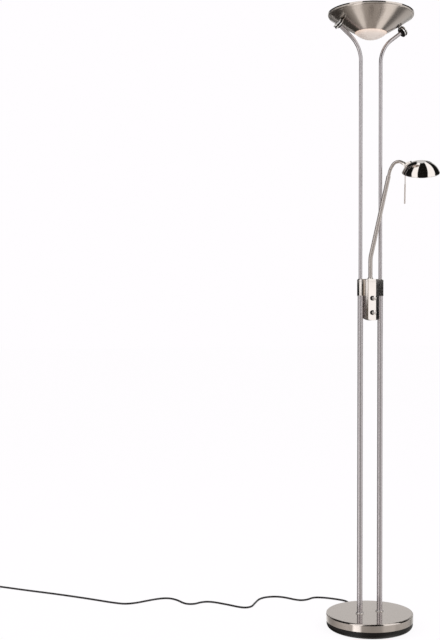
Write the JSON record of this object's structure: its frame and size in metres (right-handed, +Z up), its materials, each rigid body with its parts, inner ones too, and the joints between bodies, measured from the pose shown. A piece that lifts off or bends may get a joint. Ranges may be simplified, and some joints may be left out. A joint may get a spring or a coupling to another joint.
{
  "type": "torchiere floor lamp",
  "caption": "Floor lamp with an upward metal bowl on twin poles, a collar with dimmer knobs, and a swivelling, tilting reading light on a curved arm.",
  "frame": {"origin": "middle of the round base, on the floor", "axes": "+X along the pair of poles, towards the reading light's side at rest; -Y is the front with the knobs; +Z up"},
  "size_m": [1.2622, 1.1775, 1.8],
  "materials": {
    "brushed_nickel": "satin brushed",
    "polished_nickel": "polished",
    "black_plastic": "moulded, lightly textured",
    "black_cord": "smooth flexible plastic",
    "felt": "pressed felt",
    "cast_weight": "as cast",
    "zinc_steel": "zinc plated",
    "white_ceramic": "glazed",
    "circuit_board": "lacquered laminate",
    "opal_glass": "frosted opal",
    "lamp_glass": "clear",
    "pale_rod": "plated wire"
  },
  "bodies": {
    "stand": {"base_cover": "brushed_nickel", "uplight_bowl": "brushed_nickel", "lower_pole_left": "polished_nickel", "lower_pole_right": "polished_nickel", "upper_pole_left": "polished_nickel", "upper_pole_right": "polished_nickel", "pole_foot_rings": "polished_nickel", "collar_band": "polished_nickel", "collar_cap": "polished_nickel", "dimmer_housing": "polished_nickel", "end_fitting_bodies": "polished_nickel", "end_fitting_caps": "polished_nickel", "plug_pins": "polished_nickel", "base_pan": "black_plastic", "strain_relief": "black_plastic", "dimmer_back_cover": "black_plastic", "mains_plug": "black_plastic", "cord_clamp": "black_plastic", "mains_cord": "black_cord", "mains_cord_coil": "black_cord", "inner_cord": "black_cord", "base_felt": "felt", "base_weight": "cast_weight", "pole_nipples": "zinc_steel", "pole_nuts": "zinc_steel", "pan_screws": "zinc_steel", "wiring_screws": "zinc_steel", "pole_couplers": "zinc_steel", "coupler_grub_screws": "zinc_steel", "back_cover_screws": "zinc_steel", "arm_bush": "zinc_steel", "bowl_nipples": "zinc_steel", "bowl_nuts": "zinc_steel", "lamp_bridge": "zinc_steel", "dimmer_units": "zinc_steel", "pole_end_bushes": "zinc_steel", "uplight_lampholders": "white_ceramic", "terminal_block": "white_ceramic", "dimmer_board": "circuit_board", "bowl_glass": "opal_glass", "uplight_bulb": "lamp_glass"},
    "reading_arm": {"arm_tube_lower": "polished_nickel", "arm_tube_upper": "polished_nickel", "arm_base_ring": "polished_nickel", "arm_retaining_collar": "zinc_steel", "arm_end_socket": "polished_nickel"},
    "head_swivel": {"swivel_clevis": "polished_nickel", "tilt_pivot_screw": "polished_nickel"},
    "reading_head": {"reading_shade": "polished_nickel", "head_tongue": "polished_nickel", "handle_rod": "pale_rod", "handle_grip": "pale_rod", "head_spigot_nut": "zinc_steel", "holder_bracket": "zinc_steel", "reading_lampholder": "white_ceramic", "reading_bulb": "lamp_glass"},
    "upper_knob": {"dimmer_knob_upper": "polished_nickel", "dimmer_shaft_upper": "zinc_steel"},
    "lower_knob": {"dimmer_knob_lower": "polished_nickel", "dimmer_shaft_lower": "zinc_steel"}
  },
  "joints": [
    {"name": "arm_swivel", "type": "hinge", "parent": "stand", "child": "reading_arm", "pos_m": [0, 0, 1], "axis": [0, 0, 1], "range_deg": [-121, 11]},
    {"name": "head_turn", "type": "hinge", "parent": "reading_arm", "child": "head_swivel", "pos_m": [0.08154, -0.0571, 1.35594], "axis": [0.7022, -0.4917, -0.515], "range_deg": [-102, 48]},
    {"name": "head_tilt", "type": "hinge", "parent": "head_swivel", "child": "reading_head", "pos_m": [0.08154, -0.0571, 1.35594], "axis": [-0.7028, -0.5947, -0.3905], "range_deg": [-20, 60]},
    {"name": "upper_knob_turn", "type": "hinge", "parent": "stand", "child": "upper_knob", "pos_m": [0, -0.022, 0.965], "axis": [0, 1, 0], "range_deg": [0, 270]},
    {"name": "lower_knob_turn", "type": "hinge", "parent": "stand", "child": "lower_knob", "pos_m": [0, -0.022, 0.923], "axis": [0, 1, 0], "range_deg": [0, 270]}
  ]
}
